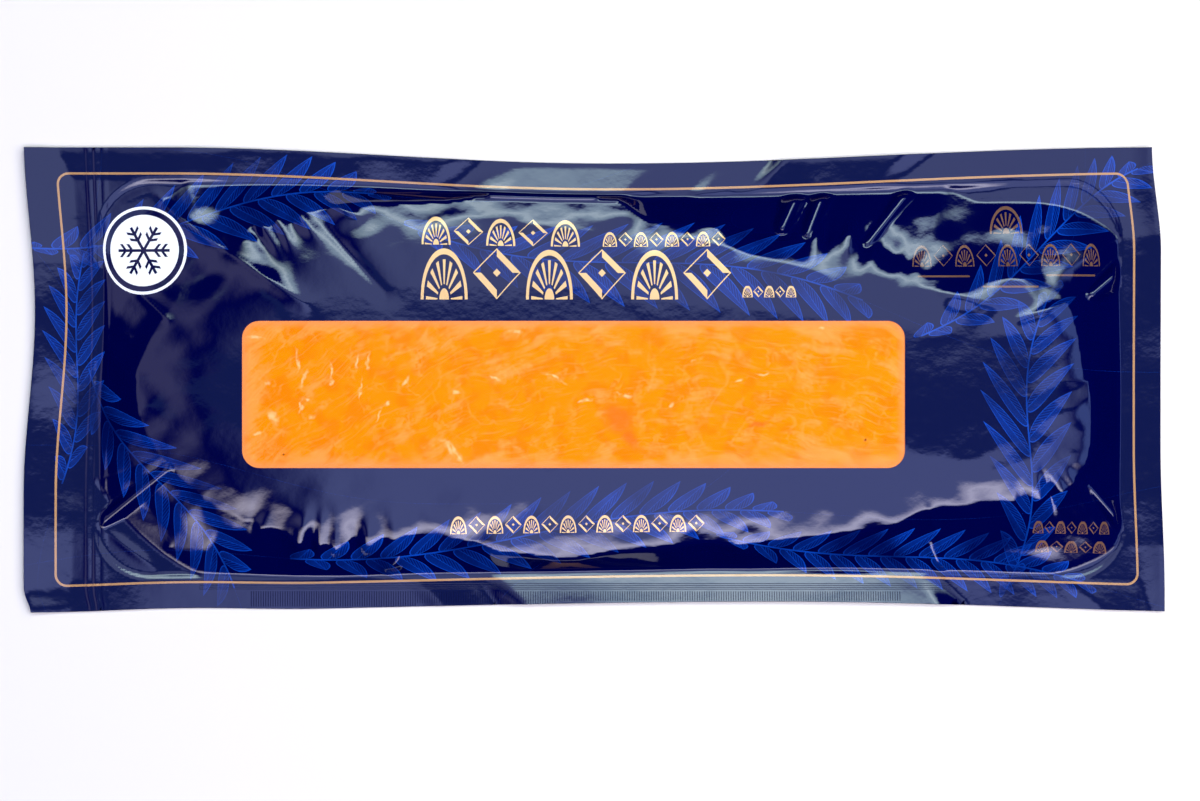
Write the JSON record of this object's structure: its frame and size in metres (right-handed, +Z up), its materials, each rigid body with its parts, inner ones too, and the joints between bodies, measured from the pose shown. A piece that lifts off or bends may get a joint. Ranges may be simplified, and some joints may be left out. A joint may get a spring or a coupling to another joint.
{
  "type": "pack of smoked salmon",
  "caption": "Flat sealed film pouch drawn tight over a side of smoked salmon, with wide seals all round and a long clear window.",
  "frame": {"origin": "middle of the pack's bounding box, on the surface that it lies on", "axes": "+X along the fish towards its thick end, +Y across the pack towards the print's top edge, +Z up from the surface"},
  "size_m": [0.591, 0.241, 0.0154],
  "materials": {
    "printed_film": "glossy laminate, printed navy with gold and blue",
    "clear_film": "clear glossy laminate",
    "salmon": "moist smoked fish, mottled orange with pale fat lines"
  },
  "bodies": {
    "root": {"pouch": "printed_film", "window_film": "clear_film", "salmon": "salmon"}
  },
  "joints": []
}
